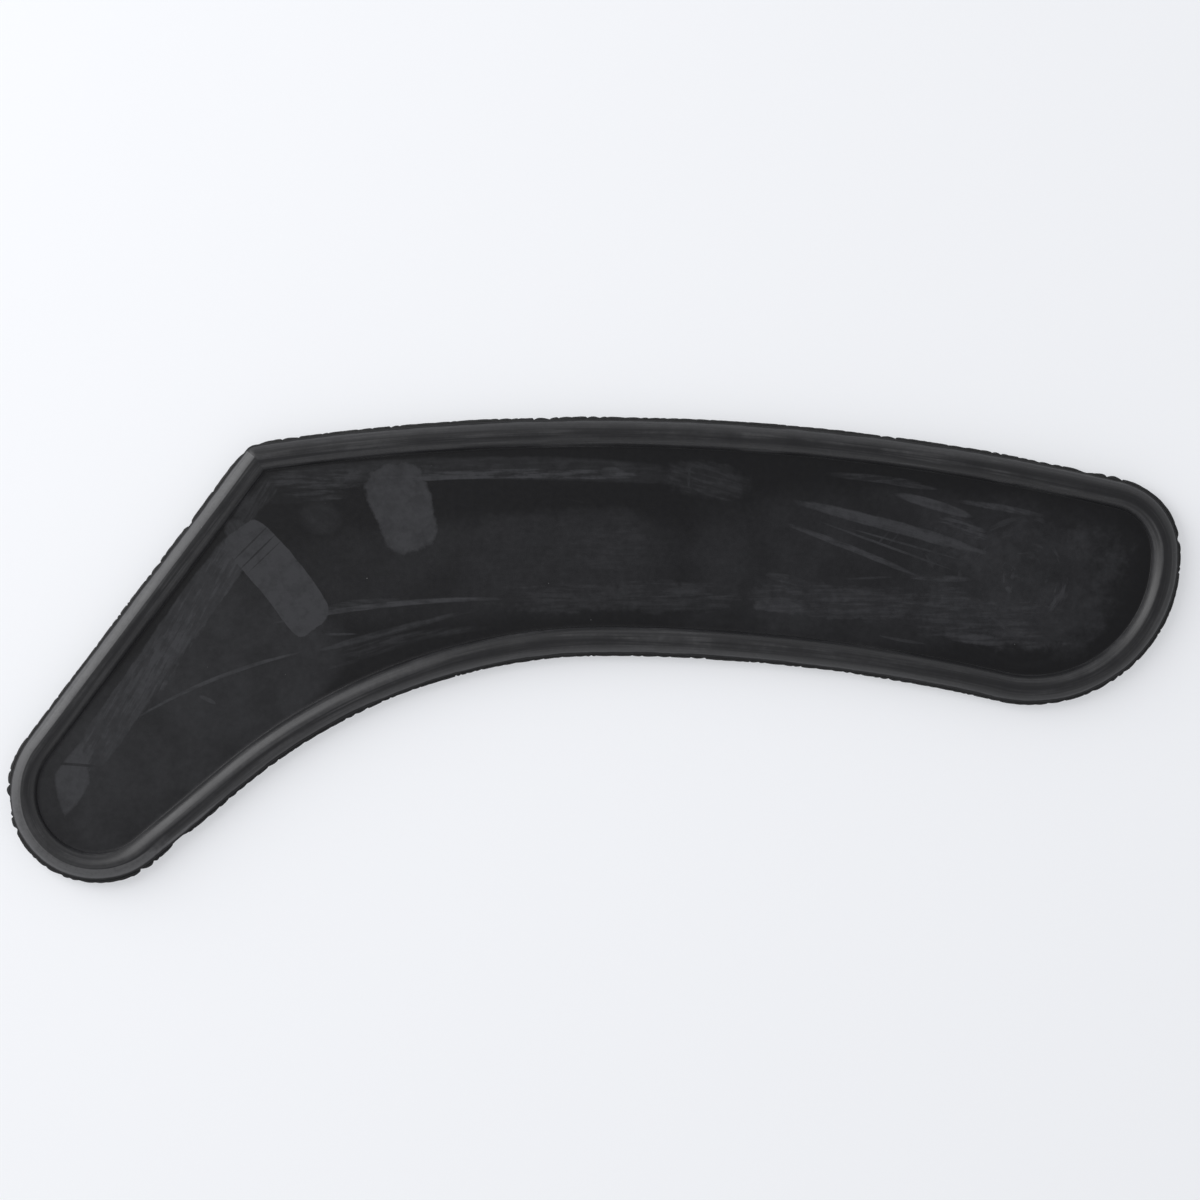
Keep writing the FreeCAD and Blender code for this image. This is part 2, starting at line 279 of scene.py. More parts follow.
def sweep_section(bm, rim, pitch):
    """Sweeps the section in bm round the whole rim and closes it at the elbow.

    The section is drawn across the elbow: x is the distance outwards from the bead's centre line and
    z is the height. Each vertex keeps its distance along the rim, its distance outwards and the way
    that outwards points there. The swept faces hold the first two and the height in the layer "rim".
    """
    along, outward, heading = (bm.verts.layers.float.new(name) for name in RIM_LAYERS)
    first = bm.verts[:]
    ring = first + bm.edges[:]
    outwards = -UP.cross(rim.start_way)
    facing = math.atan2(outwards.y, outwards.x)
    for vert in first:
        vert[outward] = vert.co.x
        vert[heading] = facing
        vert.co = rim.elbow + outwards * vert.co.x + UP * vert.co.z

    travelled = 0.0
    corner = list(first)
    elbow_leg = Leg(rim.elbow, rim.elbow, rim.elbow, rim.elbow_turn)
    for leg in rim.legs + [elbow_leg]:
        steps = ELBOW_STEPS if leg is elbow_leg else leg.steps(pitch)
        for _ in range(steps):
            turned = bmesh.ops.spin(bm, geom=ring, cent=leg.centre, axis=UP, dvec=leg.shift / steps,
                                    angle=leg.turn / steps, steps=1, use_duplicate=False)
            ring = turned["geom_last"]
            travelled += leg.length / steps
            facing += leg.turn / steps
            for vert in verts_of(ring):
                vert[along] = travelled
                vert[heading] = facing
            if leg is elbow_leg:
                corner += verts_of(ring)
        if leg is rim.legs[-1]:
            corner += verts_of(ring)
    mitre_elbow(rim, corner)

    rim_place = bm.loops.layers.float_vector.new("rim")
    for face in bm.faces:
        for loop in face.loops:
            vert = loop.vert
            loop[rim_place] = (vert[along], vert[outward], vert.co.z)
    bmesh.ops.remove_doubles(bm, verts=bm.verts, dist=MERGE)


def mitre_elbow(rim, corner):
    """Draws the inner side of the elbow's rings together into one sharp mitre. Outside stays a ball."""
    for vert in corner:
        offset = (vert.co - rim.elbow) * Vector((1, 1, 0))
        if offset.dot(rim.inward) > MERGE:
            mitre = rim.inward * (offset.length / math.cos(rim.elbow_turn / 2))
            vert.co = rim.elbow + mitre + UP * vert.co.z


def finish_piece(bm, name, node, material):
    """Makes the object and hands it to the frame in place of its CAD node."""
    bmesh.ops.recalc_face_normals(bm, faces=bm.faces)
    for face in bm.faces:
        face.smooth = True
    mesh = bpy.data.meshes.new(name)
    bm.to_mesh(mesh)
    bm.free()
    mesh.materials.append(material)
    piece = bpy.data.objects.new(name, mesh)
    bpy.context.scene.collection.objects.link(piece)
    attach(piece, ROOT_BODY)
    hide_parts(node)


# ---------------------------------------------------------------- the three shapes

BLEND_STEPS = 3         # steps of the hollow blend from the panel up to the bead
CUT_NEAR = MERGE / 10   # a mesh line that passes a vertex nearer than this goes through it


def draw_bead_section(bm, bead):
    """A circle on edge, cut off flat where the bead's two lands are."""
    made = bmesh.ops.create_circle(bm, segments=bead.segments, radius=bead.radius)
    upright = Matrix.Rotation(math.pi / 2, 3, "X")
    bmesh.ops.rotate(bm, verts=made["verts"], cent=Vector(), matrix=upright)
    bmesh.ops.translate(bm, verts=made["verts"], vec=UP * MID_HEIGHT)
    keep_between_lands(bm)


def keep_between_lands(bm):
    """Flattens whatever stands past the bead's two lands."""
    for vert in bm.verts:
        vert.co.z = min(max(vert.co.z, BEAD_LOW.z), BEAD_HIGH.z)


def swell(bm, height, wave):
    """Pushes the surface in and out a little, as a moulding cools unevenly."""
    bm.normal_update()
    for vert in bm.verts:
        vert.co += vert.normal * (height * noise.noise(vert.co / wave))


def draw_web_section(bm, bead_radius, web):
    """Half a profile, from a flat lip up the hollow blend and on into the bead, then its mirror image."""
    web_rise = WEB_HIGH.z - MID_HEIGHT
    centre_rise = web_rise + web.fillet
    centre_reach = math.sqrt((bead_radius + web.fillet) ** 2 - centre_rise**2)
    blend_centre = Vector((-centre_reach, 0, MID_HEIGHT + centre_rise))
    into_bead = Vector((centre_reach, 0, -centre_rise)).normalized()
    blend_turn = math.pi / 2 - math.asin(-into_bead.z)

    start = bm.verts.new(blend_centre - UP * web.fillet)
    turned = bmesh.ops.spin(bm, geom=[start], cent=blend_centre, axis=(0, -1, 0), angle=blend_turn,
                            steps=BLEND_STEPS, use_duplicate=False)
    lip = bmesh.ops.extrude_vert_indiv(bm, verts=[start])
    bmesh.ops.translate(bm, verts=lip["verts"], vec=(-web.lip, 0, 0))
    seated = bmesh.ops.extrude_vert_indiv(bm, verts=verts_of(turned["geom_last"]))
    bmesh.ops.translate(bm, verts=seated["verts"], vec=into_bead * web.seat)
    upper_seat = seated["verts"][0]
    mirrored = bmesh.ops.mirror(bm, geom=bm.verts[:] + bm.edges[:], axis="Z",
                                matrix=Matrix.Translation(UP * -MID_HEIGHT))
    lower_seat = min(verts_of(mirrored["geom"]), key=lambda vert: (vert.co - upper_seat.co).length)
    bm.edges.new((upper_seat, lower_seat))


def fill_web(bm, grid):
    """Closes the panel's two open sides and gives them mesh lines to bend along."""
    for side in (1, -1):
        rim_edges = [edge for edge in bm.edges if edge.is_boundary
                     and (edge.verts[0].co.z - MID_HEIGHT) * side > 0]
        face = bmesh.ops.contextual_create(bm, geom=rim_edges)["faces"][0]
        geometry = [face] + face.edges[:] + face.verts[:]
        for axis in (0, 1):
            low, high = WEB_LOW[axis], WEB_HIGH[axis]
            cuts = int((high - low) / grid)
            normal = Vector((1 - axis, axis, 0))
            for cut in range(1, cuts):
                spot = normal * (low + (high - low) * cut / cuts)
                geometry = bmesh.ops.bisect_plane(bm, geom=geometry, plane_co=spot, plane_no=normal,
                                                  dist=CUT_NEAR)["geom"]


def dip(bm, depth, wave):
    """Lets the panel rise and fall gently."""
    for vert in bm.verts:
        spot = Vector((vert.co.x, vert.co.y, 0)) / wave
        vert.co.z += depth * noise.noise(spot)


FLASH_ROOT = 0.3 * MM  # how deep inside the bead the fin starts
KNEE = 0.3             # how far out it has thinned to half, in shares of its width


def draw_flash_section(bm, bead_radius, flash):
    """A thin blade: thick where it leaves the bead, thin at its torn edge."""
    root, edge = flash.thickness / 2, flash.edge_thickness / 2
    upper = [(bead_radius - FLASH_ROOT, root), (bead_radius + flash.width * KNEE, root / 2),
             (bead_radius + flash.width, edge)]
    lower = [(reach, -rise) for reach, rise in reversed(upper)]
    verts = [bm.verts.new((reach, 0, MID_HEIGHT + rise)) for reach, rise in upper + lower]
    for start, end in zip(verts, verts[1:] + verts[:1]):
        bm.edges.new((start, end))


# Bare or thin places of the flash: across, up and half the length of rim that they take, in
# millimetres, and how much of the flash is gone there, in shares of its width.
BARE_PLACES = (
    (-85.6, 51.0, 3.4, 1.6),
    (-144.6, -38.6, 2.2, 1.5),
    (-143.2, -44.6, 0.7, 1.1),
    (-102.0, -47.4, 2.0, 1.6),
    (-100.2, 31.2, 0.9, 1.3),
    (144.8, 27.5, 0.8, 0.8),
    (137.6, 40.6, 0.8, 1.0),
    (121.5, 44.6, 1.6, 0.8),
)
# Places where the flash stands further out: the same four values, the last saying how much is added.
FULL_PLACES = (
    (-137.0, -50.0, 16.0, 0.30),
    (-146.0, -30.0, 9.0, 0.35),
    (-112.0, -56.0, 8.0, 0.45),
    (128.5, 43.0, 4.0, 0.45),
    (143.6, 36.0, 4.0, 0.25),
    (-10.0, 57.5, 30.0, 0.10),
)


# Each tooth: its length in shares of the mean, and how far along it its tip stands.
TOOTH_LENGTHS = (0.45, 1.7)
TOOTH_LEANS = (0.15, 0.7)
# Each nick's depth in shares of the mean: the least, what a draw adds, and how rare deep ones are.
NICK_LEAST, NICK_SPREAD, NICK_RARITY = 0.2, 1.6, 2.5
# The torn edge, in shares of the fin's width: its mean place, how far it wanders and frays, and
# how far inside the bead's edge it ends where the fin is bare.
MEAN_REACH, WANDER, FRAY, LEAST_REACH = 0.95, 0.28, 0.05, -0.35
WANDER_WAVE, FRAY_WAVE, CURL_WAVE = 14 * MM, 0.7 * MM, 6 * MM
# How deep nicks cut, and how much deeper where the fin stands further out.
NICK_CUT, FULLER_CUT = 0.7, 3.0


def bell(distance, reach):
    """1 at no distance, falling smoothly away beyond the reach."""
    return math.exp(-((distance / reach) ** 2))


def added_at(spot, places):
    """What the places near a spot add up to there."""
    return sum(amount * bell((spot - Vector((across, up)) * MM).length, half * MM)
               for across, up, half, amount in places)


def rim_noise(distance, wave, row):
    """Noise along the rim, in waves of that length. A row of its own makes each use differ."""
    return noise.noise(Vector((distance / wave, row, 0)))


def tooth_marks(total, flash):
    """Places along the rim where the flash tore, with how deep each nick is and where its tooth leans."""
    draw = random.Random(flash.seed)
    marks, spot = [], 0.0
    while spot < total:
        nick = flash.depth * (NICK_LEAST + NICK_SPREAD * draw.random() ** NICK_RARITY)
        marks.append((spot, nick, draw.uniform(*TOOTH_LEANS)))
        spot += flash.tooth * draw.uniform(*TOOTH_LENGTHS)
    marks.append((total, flash.depth, 0.5))
    return marks


def tear_flash(bm, bead_radius, flash):
    """Gives the fin its torn edge, bare places and slight curl."""
    along, outward, heading = (bm.verts.layers.float[name] for name in RIM_LAYERS)
    marks = tooth_marks(max(vert[along] for vert in bm.verts), flash)
    starts = [mark[0] for mark in marks]
    for vert in bm.verts:
        way_out = (vert[outward] - bead_radius) / flash.width
        if way_out <= 0:
            continue
        tooth = min(bisect.bisect_right(starts, vert[along]), len(marks) - 1) - 1
        start, nick, lean = marks[tooth]
        within = (vert[along] - start) / (starts[tooth + 1] - start)
        climb = within / lean if within < lean else (1 - within) / (1 - lean)
        bulge = math.sin(math.pi / 2 * climb)
        wander = rim_noise(vert[along], WANDER_WAVE, 0)
        fray = rim_noise(vert[along], FRAY_WAVE, 9)
        fuller = added_at(vert.co.xy, FULL_PLACES)
        barer = added_at(vert.co.xy, BARE_PLACES)
        reach = MEAN_REACH + WANDER * wander + FRAY * fray + fuller - barer
        reach -= nick / flash.width * (1 - bulge) * (NICK_CUT + FULLER_CUT * fuller)
        reach = max(reach, LEAST_REACH)
        away = Vector((math.cos(vert[heading]), math.sin(vert[heading]), 0))
        vert.co += away * (flash.width * way_out * (reach - 1))
        vert.co.z += flash.curl * rim_noise(vert[along], CURL_WAVE, 4) * way_out


# ---------------------------------------------------------------- materials

class Nodes:
    """Adds nodes to a tree and feeds their inputs with values or other nodes' outputs."""

    def __init__(self, tree):
        self.tree = tree

    def feed(self, socket, value):
        if isinstance(value, bpy.types.NodeSocket):
            self.tree.links.new(value, socket)
        else:
            socket.default_value = value

    def add(self, kind, inputs=(), **settings):
        node = self.tree.nodes.new(kind)
        for name, value in settings.items():
            setattr(node, name, value)
        for name, value in dict(inputs).items():
            self.feed(node.inputs[name], value)
        return node

    def maths(self, operation, *values, clamp=False):
        node = self.add("ShaderNodeMath", operation=operation, use_clamp=clamp)
        for socket, value in zip(node.inputs, values):
            self.feed(socket, value)
        return node.outputs[0]

    def vector_maths(self, operation, *values):
        node = self.add("ShaderNodeVectorMath", operation=operation)
        for socket, value in zip(node.inputs, values):
            self.feed(socket, value)
        return node.outputs["Value" if operation == "DOT_PRODUCT" else "Vector"]

    def times(self, first, *others, clamp=False):
        for other in others:
            first = self.maths("MULTIPLY", first, other, clamp=clamp)
        return first

    def inverse(self, value):
        """1 where the value is 0, and 0 where it is 1."""
        return self.maths("SUBTRACT", 1.0, value)

    def parts(self, vector):
        return self.add("ShaderNodeSeparateXYZ", {"Vector": vector}).outputs

    def found(self, kind):
        """The node of that kind that the tree already has."""
        return next(node for node in self.tree.nodes if node.type == kind)

    def ramp(self, value, low, high, to_low=0.0, to_high=1.0, kind="SMOOTHSTEP"):
        """The value's way from low to high, as to_low to to_high, held at both ends."""
        node = self.add("ShaderNodeMapRange", {"Value": value, "From Min": low, "From Max": high,
                                               "To Min": to_low, "To Max": to_high},
                        interpolation_type=kind)
        return node.outputs["Result"]

    def noise(self, vector, scale, detail=2.0, roughness=0.5):
        node = self.add("ShaderNodeTexNoise", {"Vector": vector, "Scale": scale, "Detail": detail,
                                               "Roughness": roughness})
        return node.outputs["Fac"]

    def stretched(self, vector, size, turn=0.0):
        """Coordinates of a pattern that is stretched to that size and turned about Z."""
        node = self.add("ShaderNodeMapping", {"Vector": vector, "Rotation": (0, 0, turn), "Scale": size},
                        vector_type="TEXTURE")
        return node.outputs["Vector"]

    def mix_colours(self, share, first, second):
        node = self.add("ShaderNodeMix", data_type="RGBA")
        for name, value in (("Factor_Float", share), ("A_Color", first), ("B_Color", second)):
            socket = next(socket for socket in node.inputs if socket.identifier == name)
            self.feed(socket, value)
        return next(socket for socket in node.outputs if socket.identifier == "Result_Color")


SMEAR_INPUTS = ("Along", "Across", "Square", "Bend", "Softness", "Ragged", "Streaks", "Strength",
                "Fray", "Lines")


def smear_group():
    """One smear of bloom or dust, or on the bead a scuff that is partly painted highlight: a rounded patch
    or a tapering streak, in its own coordinates.

    Along and across run from -1 to 1 over the smear. The fray and the lines are patterns shared by all
    smears: one makes the edge ragged, the other leaves clean lines in the smear.
    """
    group = bpy.data.node_groups.new("smear", "ShaderNodeTree")
    for name in SMEAR_INPUTS:
        group.interface.new_socket(name, in_out="INPUT", socket_type="NodeSocketFloat")
    group.interface.new_socket("Mask", in_out="OUTPUT", socket_type="NodeSocketFloat")
    n = Nodes(group)
    given = n.add("NodeGroupInput").outputs
    middle = n.inverse(n.times(given["Along"], given["Along"]))
    across = n.maths("SUBTRACT", given["Across"], n.times(middle, given["Bend"]))
    reach = n.maths("ADD", n.maths("POWER", n.maths("ABSOLUTE", given["Along"]), given["Square"]),
                    n.maths("POWER", n.maths("ABSOLUTE", across), given["Square"]))
    reach = n.maths("ADD", reach, n.times(given["Fray"], given["Ragged"]))
    inside = n.inverse(given["Softness"])
    edge = n.inverse(n.ramp(reach, inside, 1.0))
    wiped = n.times(given["Streaks"], n.inverse(given["Lines"]))
    mask = n.times(edge, n.inverse(wiped), given["Strength"])
    n.add("NodeGroupOutput", {"Mask": mask})
    return group


def smear_nodes():
    return bpy.data.node_groups.get("smear") or smear_group()


LINE_BEARING_STEP = math.radians(15)
FINE_FRAY = 2.6 * MM
COARSE_FRAY = 11 * MM


def smears(n, vector, group, marks, line_size=(9.0, 1.0)):
    """The masks of several smears together.

    Each mark is (start, end, width, square, bend, softness, ragged, streaks, strength), with the ends
    and the width in millimetres and the bend in half widths. The lines in the smears are drawn out to
    the line size, in millimetres, along each smear's own way to the nearest 15 degrees.
    """
    fine = n.maths("SUBTRACT", n.noise(vector, 1 / FINE_FRAY, detail=4.0, roughness=0.65), 0.5)
    coarse = n.maths("SUBTRACT", n.noise(vector, 1 / COARSE_FRAY, detail=1.0), 0.5)
    fray = n.maths("ADD", fine, coarse)
    lines = {}
    total = None
    for start, end, width, *look in marks:
        start, end = Vector((*start, 0)) * MM, Vector((*end, 0)) * MM
        run = end - start
        way = run.normalized()
        side = Vector((-way.y, way.x, 0))
        step = round(math.atan2(way.y, way.x) / LINE_BEARING_STEP)
        if step not in lines:
            drawn_out = n.stretched(vector, (line_size[0] * MM, line_size[1] * MM, 1),
                                    turn=step * LINE_BEARING_STEP)
            drawn = n.noise(drawn_out, 1.0, detail=4.0, roughness=0.62)
            broken = n.maths("ADD", drawn, n.times(fray, 0.35))
            lines[step] = n.ramp(broken, 0.38, 0.62)
        from_middle = n.vector_maths("SUBTRACT", vector, (start + end) / 2)
        along = n.vector_maths("DOT_PRODUCT", from_middle, way * (2 / run.length))
        across = n.vector_maths("DOT_PRODUCT", from_middle, side * (2 / (width * MM)))
        smear = n.add("ShaderNodeGroup", node_tree=group)
        for name, value in zip(SMEAR_INPUTS, (along, across, *look, fray, lines[step])):
            n.feed(smear.inputs[name], value)
        total = n.maths("MAXIMUM", total, smear.outputs["Mask"]) if total else smear.outputs["Mask"]
    return total


# Smears on the web's upper face.
WEB_SMEARS = (
    # Broad finger wipes.
    ((-88.6, 30.0), (-68.6, 5.2), 12.0, 5.5, 0.16, 0.18, 0.45, 0.05, 1.00),
    ((-52.5, 46.0), (-45.0, 28.0), 16.0, 3.5, 0.10, 0.35, 0.90, 0.05, 0.82),
    ((-48.0, 38.0), (-44.4, 22.6), 14.5, 2.4, 0.10, 0.50, 0.90, 0.05, 0.88),
    ((-73.0, 35.0), (-62.0, 30.0), 10.0, 2.0, 0.0, 0.9, 0.5, 0.3, 0.28),
    ((-38.0, 22.0), (22.0, 24.5), 25.0, 3.5, 0.0, 0.75, 0.7, 0.15, 0.30),
    ((-12.0, 23.5), (20.0, 27.0), 18.0, 2.0, 0.0, 0.95, 0.9, 0.30, 0.46),
    ((14.0, 43.0), (40.0, 39.0), 10.0, 2.5, 0.2, 0.95, 1.8, 0.60, 0.52),
    ((24.0, 46.0), (23.4, 39.5), 0.9, 2.0, -0.8, 0.7, 0.5, 0.20, 0.62),
    ((1.2, 44.0), (8.4, 43.4), 3.4, 2.5, 0.0, 0.70, 0.9, 0.30, 0.75),
    ((-6.0, 27.0), (17.0, 23.0), 9.0, 2.0, 0.2, 0.95, 0.8, 0.15, 0.36),
    # Dust left along the edges of the panel.
    ((-58.0, 41.8), (14.0, 42.6), 2.6, 4.0, 1.0, 0.6, 1.0, 0.75, 1.00),
    ((-84.0, 41.6), (26.0, 42.6), 6.2, 4.0, 0.90, 0.8, 0.8, 0.45, 0.42),
    ((-89.0, 29.5), (-79.5, 42.0), 7.0, 3.0, 0.25, 0.7, 1.4, 0.75, 0.60),
    ((-82.0, 41.3), (-52.0, 43.0), 6.4, 3.0, 0.1, 0.8, 1.5, 0.85, 0.65),
    ((-80.0, 37.0), (-60.0, 38.6), 3.0, 3.0, 0.1, 0.8, 1.6, 0.85, 0.50),
    ((-86.5, 28.4), (-129.6, -32.6), 6.8, 6.0, 0.0, 0.5, 1.1, 0.60, 0.95),
    ((-85.6, 28.6), (-128.4, -31.6), 9.6, 6.0, -0.05, 0.6, 0.9, 0.30, 0.78),
    ((-90.4, 33.0), (-84.5, 24.5), 7.0, 2.5, 0.0, 0.6, 0.9, 0.35, 0.70),
    ((-95.0, 11.5), (-117.5, -20.5), 11.5, 2.5, -0.25, 0.8, 1.5, 0.75, 0.95),
    ((-126.6, -21.5), (-131.0, -42.0), 10.4, 1.15, 0.0, 0.25, 0.25, 0.10, 0.95),
    ((-30.0, 11.2), (44.0, 12.6), 9.5, 3.5, 0.30, 0.9, 1.6, 0.50, 0.50),
    ((10.0, 13.6), (37.0, 13.8), 2.6, 2.5, 0.10, 0.7, 1.2, 0.60, 0.62),
    ((32.0, 12.8), (90.0, 9.2), 10.0, 3.0, 0.20, 0.9, 1.9, 0.45, 0.72),
    ((38.0, 11.0), (52.0, 9.8), 3.6, 2.5, 0.20, 0.60, 1.4, 0.30, 0.90),
    ((74.0, 11.4), (123.0, 6.0), 16.5, 2.5, -0.15, 0.9, 1.9, 0.50, 0.72),
    ((81.0, 12.0), (96.0, 10.6), 4.6, 2.5, 0.20, 0.70, 1.3, 0.40, 0.90),
    ((84.0, 4.6), (104.0, 2.0), 3.8, 2.5, -0.30, 0.70, 1.3, 0.50, 0.85),
    ((97.0, 8.6), (104.5, 2.4), 1.4, 2.0, 0.60, 0.60, 0.6, 0.20, 0.75),
    ((69.5, 3.7), (82.6, 1.4), 0.9, 2.0, -0.4, 0.6, 0.3, 0.3, 0.70),
    ((58.0, 43.4), (82.0, 40.8), 2.0, 2.5, 0.1, 0.7, 1.0, 0.7, 0.70),
    # Arcs and lines drawn by a fingertip or a rag.
    ((-86.0, 5.0), (-14.0, 12.4), 1.7, 2.0, 3.0, 0.7, 0.3, 0.45, 1.00),
    ((-72.0, 8.8), (-44.0, 12.0), 2.6, 2.0, 0.8, 0.8, 0.5, 0.6, 0.55),
    ((-70.0, 3.8), (-58.0, 3.9), 0.8, 2.0, 0.0, 0.6, 0.2, 0.3, 0.65),
    ((-118.0, -20.0), (-66.0, 0.6), 1.3, 2.0, 4.6, 0.7, 0.2, 0.3, 0.95),
    ((-86.0, -5.6), (-22.0, 11.8), 2.2, 2.0, 0.4, 0.8, 0.5, 0.6, 0.60),
    ((-97.9, -11.3), (-93.2, -13.5), 1.2, 2.5, 0.2, 0.5, 0.2, 0.2, 0.80),
    ((-88.0, -9.0), (-20.0, 6.0), 3.2, 2.0, 1.8, 0.9, 0.6, 0.8, 0.42),
    ((-96.0, -20.0), (-40.0, 3.0), 2.8, 2.0, 2.2, 0.9, 0.6, 0.8, 0.38),
    ((46.5, 37.3), (102.5, 22.0), 3.6, 2.0, 0.34, 0.6, 0.6, 0.30, 1.10),
    ((73.0, 38.8), (95.5, 32.0), 3.0, 2.0, 0.2, 0.6, 0.4, 0.30, 1.05),
    ((86.5, 37.0), (113.5, 32.4), 2.2, 2.0, 0.4, 0.7, 0.8, 0.5, 0.90),
    ((69.0, 41.8), (86.4, 39.4), 1.4, 2.0, 0.1, 0.7, 0.7, 0.5, 0.70),
    ((43.0, 32.6), (83.0, 16.8), 2.0, 2.0, 0.5, 0.7, 0.5, 0.4, 0.90),
    ((76.0, 18.0), (97.0, 17.4), 2.4, 2.0, 0.0, 0.8, 1.0, 0.5, 0.85),
    ((52.0, 33.0), (92.0, 18.4), 0.8, 2.0, 0.0, 0.7, 0.3, 0.3, 0.85),
    ((58.0, 31.4), (95.0, 21.0), 0.7, 2.0, 0.0, 0.7, 0.3, 0.3, 0.75),
    ((60.0, 17.3), (76.0, 18.0), 0.8, 2.0, 0.3, 0.7, 0.4, 0.4, 0.50),
    ((40.5, 19.0), (54.5, 15.4), 2.8, 2.0, 0.2, 0.7, 0.9, 0.5, 0.72),
    ((69.0, 25.0), (74.0, 30.6), 0.8, 2.0, 0.0, 0.7, 0.4, 0.3, 0.50),
    ((72.0, 25.4), (76.0, 29.4), 0.6, 2.0, 0.0, 0.7, 0.4, 0.3, 0.50),
    ((81.5, 24.0), (84.0, 19.4), 0.6, 2.0, 0.4, 0.6, 0.3, 0.3, 0.70),
    ((82.0, 32.8), (101.0, 26.0), 6.0, 2.0, 0.2, 0.9, 1.4, 0.65, 0.90),
    ((116.6, 29.0), (117.4, 22.4), 0.7, 2.0, 0.0, 0.6, 0.3, 0.3, 0.60),
    ((119.6, 26.6), (120.0, 22.0), 0.6, 2.0, 0.0, 0.6, 0.3, 0.3, 0.45),
)
# Thin clean lines and places wiped out of the smears.
WEB_WIPES = (
    ((-134.0, -28.0), (-122.0, -28.9), 0.8, 2.5, 0.2, 0.6, 0.3, 0.0, 0.75),
    ((-88.6, 18.8), (-77.6, 29.6), 0.55, 2.0, 0.0, 0.8, 0.3, 0.0, 0.65),
    ((-86.6, 18.0), (-76.0, 28.2), 0.40, 2.0, 0.0, 0.8, 0.3, 0.0, 0.50),
    ((-90.4, 20.8), (-79.6, 31.6), 0.55, 2.0, 0.0, 0.8, 0.3, 0.0, 0.55),
    ((-74.4, 21.8), (-68.8, 22.6), 1.1, 1.6, 0.0, 0.7, 0.4, 0.0, 0.70),
)
# Thin films of bloom, broad and soft, that stay clear of the bead.
WEB_FILMS = (
    ((-66.0, 14.0), (-142.0, -50.0), 40.0, 5.0, 0.0, 0.60, 0.2, 0.0, 0.86),
    ((-84.0, 16.0), (40.0, 22.0), 30.0, 3.0, 0.10, 0.9, 0.6, 0.0, 0.46),
    ((10.0, 19.0), (137.0, 19.0), 44.0, 3.0, 0.05, 0.9, 0.6, 0.0, 0.74),
    ((78.0, 20.5), (133.0, 16.0), 37.0, 2.8, -0.10, 0.9, 1.3, 0.0, 1.20),
)


def object_vector(n):
    return n.add("ShaderNodeTexCoord").outputs["Object"]


def rim_vector(n):
    """Distance along the rim, outwards from the bead's centre line, and height."""
    return n.add("ShaderNodeAttribute", attribute_type="GEOMETRY", attribute_name="rim").outputs["Vector"]


def specks(n, vector, spacing, size, share):
    """Loose round specks, in a share of the cells that they are spread over."""
    node = n.add("ShaderNodeTexVoronoi", {"Vector": vector, "Scale": 1 / spacing, "Randomness": 1.0})
    near = n.ramp(node.outputs["Distance"], size / spacing, size / spacing * 0.4)
    chance = n.add("ShaderNodeSeparateColor", {"Color": node.outputs["Color"]}).outputs
    chosen = n.ramp(chance["Red"], 1 - share, 1 - share + 0.01)
    return n.times(near, chosen, chance["Green"])


def new_material(name):
    material = bpy.data.materials.new(name)
    material.use_nodes = True
    n = Nodes(material.node_tree)
    return material, n, n.found("BSDF_PRINCIPLED")


def colour4(value):
    return (*value, 1.0)


# Specular levels: how glossy each rubber is.
WEB_GLOSS = 0.36
BEAD_GLOSS = 0.46
# How much rougher bloom and dust make the rubber.
DULLING = 0.14
# How much of each pattern shows: the web's thin film, its fine hair lines, the bead's rubbed streaks
# and the flash's crumbs.
FILM_STRENGTH = 0.58
HAIR_STRENGTH = 0.10
RUBBED_STRENGTH = 0.46
CRUMB_STRENGTH = 0.30


def coat(n, shader, clean, bloom, bloom_and_highlight_mask, dust, dust_mask, roughness, bump):
    """Lays bloom and dust over the clean rubber (on the bead, pale scuffs that are partly painted
    highlights), and gives it its roughness and grain.
    """
    surface = n.mix_colours(bloom_and_highlight_mask, clean, colour4(bloom))
    surface = n.mix_colours(dust_mask, surface, colour4(dust))
    n.feed(shader.inputs["Base Color"], surface)
    duller = n.times(n.maths("MAXIMUM", bloom_and_highlight_mask, dust_mask), DULLING)
    n.feed(shader.inputs["Roughness"], n.maths("ADD", roughness, duller, clamp=True))
    n.feed(shader.inputs["Normal"], bump)


def shaded(n, base, amount, pattern):
    """The base colour, lighter and darker by the amount as the pattern goes from 0 to 1."""
    dark = tuple(part * (1 - amount) for part in base)
    light = tuple(part * (1 + amount) for part in base)
    return n.mix_colours(pattern, colour4(dark), colour4(light))


def bumps(n, layers):
    """Several heights on each other. Each layer is (height, how far it rises)."""
    normal = None
    for height, rise in layers:
        inputs = {"Height": height, "Distance": rise, "Strength": 1.0}
        if normal:
            inputs["Normal"] = normal
        normal = n.add("ShaderNodeBump", inputs).outputs["Normal"]
    return normal


SWIRL_CENTRE = (105.5 * MM, 17.5 * MM, 0)
SWIRL_CORE = 8 * MM               # radius up to which the rings show in full
SWIRL_REACH = 24 * MM             # radius by which they have faded out
SWIRL_DISC = (12 * MM, 8.5 * MM)  # radii: no disc at the first, all of it at the second
SWIRL_RING = 1.6 * MM             # spacing of the rings
SWIRL_WOBBLE = 1.3                # how much they change on the way round
RING_STRENGTH = 0.95
DISC_STRENGTH = 0.52


